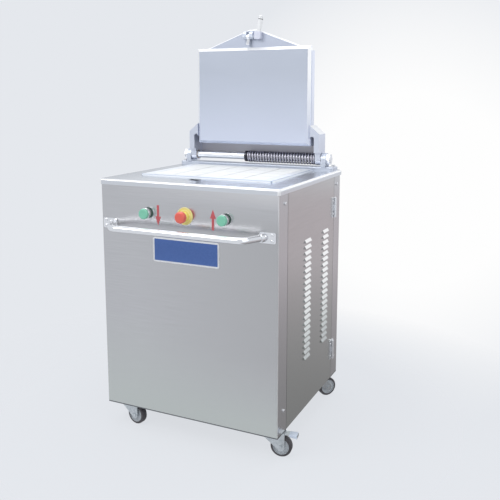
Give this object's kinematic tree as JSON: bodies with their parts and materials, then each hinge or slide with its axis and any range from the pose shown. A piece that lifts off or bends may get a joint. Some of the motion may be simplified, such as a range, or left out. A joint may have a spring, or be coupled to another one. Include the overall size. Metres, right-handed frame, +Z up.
{
  "type": "dough divider",
  "caption": "Hydraulic dough divider: a steel cabinet on castors with a block-floored pot, cutting knives, a sprung hinged press lid, louvred side doors, push handle and buttons.",
  "frame": {"origin": "on the floor under the middle of the cabinet", "axes": "+Z up, +X to the right of someone facing the controls, +Y to the rear, where the lid's hinge is"},
  "size_m": [0.7402, 0.734, 1.5147],
  "materials": {
    "panel_steel": "brushed stainless sheet",
    "table_steel": "satin stainless sheet",
    "frame_paint": "grey paint",
    "cast_aluminium": "machined cast aluminium",
    "press_plate": "polished plate",
    "block_plastic": "food-grade white plastic",
    "blade_steel": "ground steel",
    "machine_steel": "grey enamel",
    "bright_steel": "polished steel",
    "spring_steel": "black oiled wire",
    "bronze": "bronze",
    "tank_paint": "blue-grey paint",
    "valve_aluminium": "machined",
    "hose_rubber": "black rubber",
    "box_paint": "light grey paint",
    "black_plastic": "moulded",
    "bezel": "chromed ring",
    "yellow_plastic": "moulded",
    "green_plastic": "moulded",
    "red_plastic": "moulded",
    "castor_zinc": "zinc plated",
    "castor_rubber": "dark grey rubber"
  },
  "bodies": {
    "cabinet": {"frame": "frame_paint", "base_plate": "frame_paint", "front_panel": "panel_steel", "rear_panel": "panel_steel", "table_top": "table_steel", "pot": "cast_aluminium", "guide_columns": "bright_steel", "lift_cylinders": "machine_steel", "oil_tank": "tank_paint", "pump_motor": "tank_paint", "valve_block": "valve_aluminium", "hydraulic_hoses": "hose_rubber", "control_box": "box_paint", "cable_gland": "black_plastic", "contact_blocks": "black_plastic", "control_bezels": "bezel", "estop_disc": "yellow_plastic", "handle_bar": "bright_steel", "handle_feet": "bright_steel", "panel_screws": "bright_steel", "hinge_beam": "cast_aluminium", "beam_bolts": "bright_steel", "hinge_lugs": "cast_aluminium", "hinge_shaft": "bright_steel", "shaft_fittings": "bright_steel", "lid_spring": "spring_steel", "frame_hinge_leaves": "bright_steel", "hinge_pins": "bright_steel", "castor_plates": "castor_zinc"},
    "lid": {"lid_frame": "cast_aluminium", "lid_press_plate": "press_plate", "press_plate_screws": "bright_steel", "ear_bushes": "bronze", "latch_clevis": "cast_aluminium", "lid_handle": "bright_steel"},
    "latch": {"latch_hook": "bright_steel"},
    "press": {"press_blocks": "block_plastic", "block_carrier": "machine_steel", "press_rod": "bright_steel"},
    "knives": {"knife_grid": "blade_steel", "knife_carrier": "machine_steel", "knife_rods": "bright_steel"},
    "right_door": {"right_door": "panel_steel", "right_door_leaves": "bright_steel"},
    "left_door": {"left_door": "panel_steel", "left_door_leaves": "bright_steel"},
    "up_button": {"up_button": "green_plastic"},
    "down_button": {"down_button": "green_plastic"},
    "estop_stem": {"estop_stem": "black_plastic"},
    "estop_head": {"estop_head": "red_plastic"},
    "fork_front_left": {"castor_fork_front_left": "castor_zinc"},
    "wheel_front_left": {"castor_wheel_front_left": "castor_rubber"},
    "fork_front_right": {"castor_fork_front_right": "castor_zinc"},
    "wheel_front_right": {"castor_wheel_front_right": "castor_rubber"},
    "fork_rear_left": {"castor_fork_rear_left": "castor_zinc"},
    "wheel_rear_left": {"castor_wheel_rear_left": "castor_rubber"},
    "fork_rear_right": {"castor_fork_rear_right": "castor_zinc"},
    "wheel_rear_right": {"castor_wheel_rear_right": "castor_rubber"},
    "brake_front_left": {"castor_brake_front_left": "castor_zinc"},
    "brake_front_right": {"castor_brake_front_right": "castor_zinc"}
  },
  "joints": [
    {"name": "lid_hinge", "type": "hinge", "parent": "cabinet", "child": "lid", "pos_m": [0, 0.252, 0.9645], "axis": [1, 0, 0], "range_deg": [0, 90], "stiffness_Nm_per_rad": 18, "springref_deg": -20.05},
    {"name": "latch_pivot", "type": "hinge", "parent": "lid", "child": "latch", "pos_m": [-0.015, 0.22, 1.435], "axis": [1, 0, 0], "range_deg": [-115, 0]},
    {"name": "press_slide", "type": "slide", "parent": "cabinet", "child": "press", "axis": [0, 0, 1], "range_m": [-0.1, 0]},
    {"name": "knife_slide", "type": "slide", "parent": "cabinet", "child": "knives", "axis": [0, 0, 1], "range_m": [-0.1, 0]},
    {"name": "right_door_hinge", "type": "hinge", "parent": "cabinet", "child": "right_door", "pos_m": [0.3458, 0.2395, 0.4935], "axis": [0, 0, 1], "range_deg": [0, 110]},
    {"name": "left_door_hinge", "type": "hinge", "parent": "cabinet", "child": "left_door", "pos_m": [-0.3458, 0.2395, 0.4935], "axis": [0, 0, -1], "range_deg": [0, 110]},
    {"name": "estop_press", "type": "slide", "parent": "cabinet", "child": "estop_stem", "axis": [0, 1, 0], "range_m": [0, 0.006], "stiffness_N_per_m": 1000, "springref_m": -0.004},
    {"name": "estop_twist", "type": "hinge", "parent": "estop_stem", "child": "estop_head", "pos_m": [0, -0.34, 0.81], "axis": [0, 1, 0], "range_deg": [0, 40], "stiffness_Nm_per_rad": 0.08, "springref_deg": -11.46},
    {"name": "up_button_press", "type": "slide", "parent": "cabinet", "child": "up_button", "axis": [0, 1, 0], "range_m": [0, 0.005], "stiffness_N_per_m": 800, "springref_m": -0.003},
    {"name": "down_button_press", "type": "slide", "parent": "cabinet", "child": "down_button", "axis": [0, 1, 0], "range_m": [0, 0.005], "stiffness_N_per_m": 800, "springref_m": -0.003},
    {"name": "castor_swivel_front_left", "type": "hinge", "parent": "cabinet", "child": "fork_front_left", "pos_m": [-0.288, -0.26, 0.085], "axis": [0, 0, 1], "continuous": true},
    {"name": "wheel_spin_front_left", "type": "hinge", "parent": "fork_front_left", "child": "wheel_front_left", "pos_m": [-0.24443, -0.26612, 0.037], "axis": [-0.1392, -0.9903, 0], "continuous": true},
    {"name": "brake_pivot_front_left", "type": "hinge", "parent": "fork_front_left", "child": "brake_front_left", "pos_m": [-0.23651, -0.26724, 0.0795], "axis": [0.1392, 0.9903, 0], "range_deg": [0, 12]},
    {"name": "castor_swivel_front_right", "type": "hinge", "parent": "cabinet", "child": "fork_front_right", "pos_m": [0.288, -0.26, 0.085], "axis": [0, 0, 1], "continuous": true},
    {"name": "wheel_spin_front_right", "type": "hinge", "parent": "fork_front_right", "child": "wheel_front_right", "pos_m": [0.33157, -0.25388, 0.037], "axis": [0.1392, -0.9903, 0], "continuous": true},
    {"name": "brake_pivot_front_right", "type": "hinge", "parent": "fork_front_right", "child": "brake_front_right", "pos_m": [0.33949, -0.25276, 0.0795], "axis": [-0.1392, 0.9903, 0], "range_deg": [0, 12]},
    {"name": "castor_swivel_rear_left", "type": "hinge", "parent": "cabinet", "child": "fork_rear_left", "pos_m": [-0.288, 0.228, 0.085], "axis": [0, 0, 1], "continuous": true},
    {"name": "wheel_spin_rear_left", "type": "hinge", "parent": "fork_rear_left", "child": "wheel_rear_left", "pos_m": [-0.24665, 0.24305, 0.037], "axis": [0.342, -0.9397, 0], "continuous": true},
    {"name": "castor_swivel_rear_right", "type": "hinge", "parent": "cabinet", "child": "fork_rear_right", "pos_m": [0.288, 0.228, 0.085], "axis": [0, 0, 1], "continuous": true},
    {"name": "wheel_spin_rear_right", "type": "hinge", "parent": "fork_rear_right", "child": "wheel_rear_right", "pos_m": [0.31628, 0.26171, 0.037], "axis": [0.766, -0.6428, 0], "continuous": true}
  ]
}
